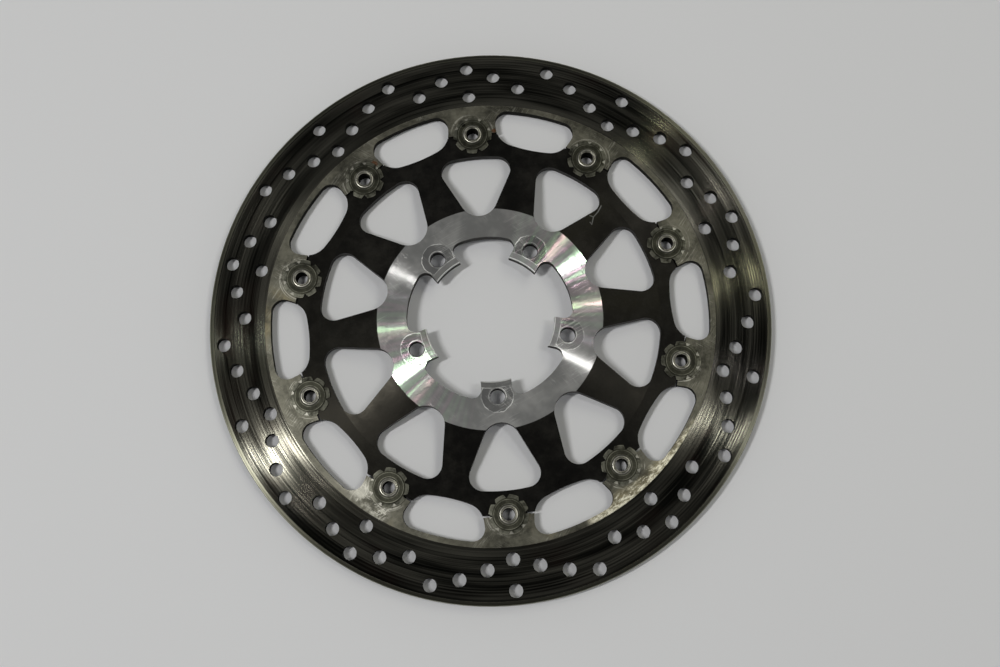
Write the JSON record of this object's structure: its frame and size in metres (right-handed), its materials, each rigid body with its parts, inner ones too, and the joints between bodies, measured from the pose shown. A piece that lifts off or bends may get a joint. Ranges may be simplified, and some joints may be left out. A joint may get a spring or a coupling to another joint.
{
  "type": "floating brake rotor",
  "caption": "Floating brake rotor: a drilled steel ring carried on hollow drive bushes round a dark aluminium carrier with a turned bolt ring.",
  "frame": {"origin": "centre of the bolt circle, on the carrier's seat against the wheel hub", "axes": "+Z along the axle, out of the front face, away from the wheel; a bolt hole and a drive bush lie on -Y"},
  "size_m": [0.32, 0.32, 0.0127],
  "materials": {
    "braking_steel": "worn, scored in circles by the pads",
    "black_anodised": "black anodised aluminium, satin",
    "turned_aluminium": "bare, fine turned",
    "bush_steel": "bare, bright rolled rim",
    "spring_steel": "dull dark oiled",
    "washer_steel": "dull dark"
  },
  "bodies": {
    "carrier": {"carrier": "black_anodised"},
    "band": {"brake_band": "braking_steel"},
    "station_1": {"drive_bush_1": "bush_steel", "wave_washer_1": "spring_steel", "flat_washer_1": "washer_steel"},
    "station_2": {"drive_bush_2": "bush_steel", "wave_washer_2": "spring_steel", "flat_washer_2": "washer_steel"},
    "station_3": {"drive_bush_3": "bush_steel", "wave_washer_3": "spring_steel", "flat_washer_3": "washer_steel"},
    "station_4": {"drive_bush_4": "bush_steel", "wave_washer_4": "spring_steel", "flat_washer_4": "washer_steel"},
    "station_5": {"drive_bush_5": "bush_steel", "wave_washer_5": "spring_steel", "flat_washer_5": "washer_steel"},
    "station_6": {"drive_bush_6": "bush_steel", "wave_washer_6": "spring_steel", "flat_washer_6": "washer_steel"},
    "station_7": {"drive_bush_7": "bush_steel", "wave_washer_7": "spring_steel", "flat_washer_7": "washer_steel"},
    "station_8": {"drive_bush_8": "bush_steel", "wave_washer_8": "spring_steel", "flat_washer_8": "washer_steel"},
    "station_9": {"drive_bush_9": "bush_steel", "wave_washer_9": "spring_steel", "flat_washer_9": "washer_steel"},
    "station_10": {"drive_bush_10": "bush_steel", "wave_washer_10": "spring_steel", "flat_washer_10": "washer_steel"}
  },
  "joints": [
    {"name": "band_float", "type": "slide", "parent": "carrier", "child": "band", "axis": [0, 0, 1], "range_m": [0, 0.00025], "stiffness_N_per_m": 50000, "springref_m": -0.0005},
    {"name": "bush_1_turn", "type": "hinge", "parent": "carrier", "child": "station_1", "pos_m": [0, -0.1105, 0], "axis": [0, 0, 1], "continuous": true},
    {"name": "bush_2_turn", "type": "hinge", "parent": "carrier", "child": "station_2", "pos_m": [0.06495, -0.0894, 0], "axis": [0, 0, 1], "continuous": true},
    {"name": "bush_3_turn", "type": "hinge", "parent": "carrier", "child": "station_3", "pos_m": [0.10509, -0.03415, 0], "axis": [0, 0, 1], "continuous": true},
    {"name": "bush_4_turn", "type": "hinge", "parent": "carrier", "child": "station_4", "pos_m": [0.10509, 0.03415, 0], "axis": [0, 0, 1], "continuous": true},
    {"name": "bush_5_turn", "type": "hinge", "parent": "carrier", "child": "station_5", "pos_m": [0.06495, 0.0894, 0], "axis": [0, 0, 1], "continuous": true},
    {"name": "bush_6_turn", "type": "hinge", "parent": "carrier", "child": "station_6", "pos_m": [0, 0.1105, 0], "axis": [0, 0, 1], "continuous": true},
    {"name": "bush_7_turn", "type": "hinge", "parent": "carrier", "child": "station_7", "pos_m": [-0.06495, 0.0894, 0], "axis": [0, 0, 1], "continuous": true},
    {"name": "bush_8_turn", "type": "hinge", "parent": "carrier", "child": "station_8", "pos_m": [-0.10509, 0.03415, 0], "axis": [0, 0, 1], "continuous": true},
    {"name": "bush_9_turn", "type": "hinge", "parent": "carrier", "child": "station_9", "pos_m": [-0.10509, -0.03415, 0], "axis": [0, 0, 1], "continuous": true},
    {"name": "bush_10_turn", "type": "hinge", "parent": "carrier", "child": "station_10", "pos_m": [-0.06495, -0.0894, 0], "axis": [0, 0, 1], "continuous": true}
  ]
}
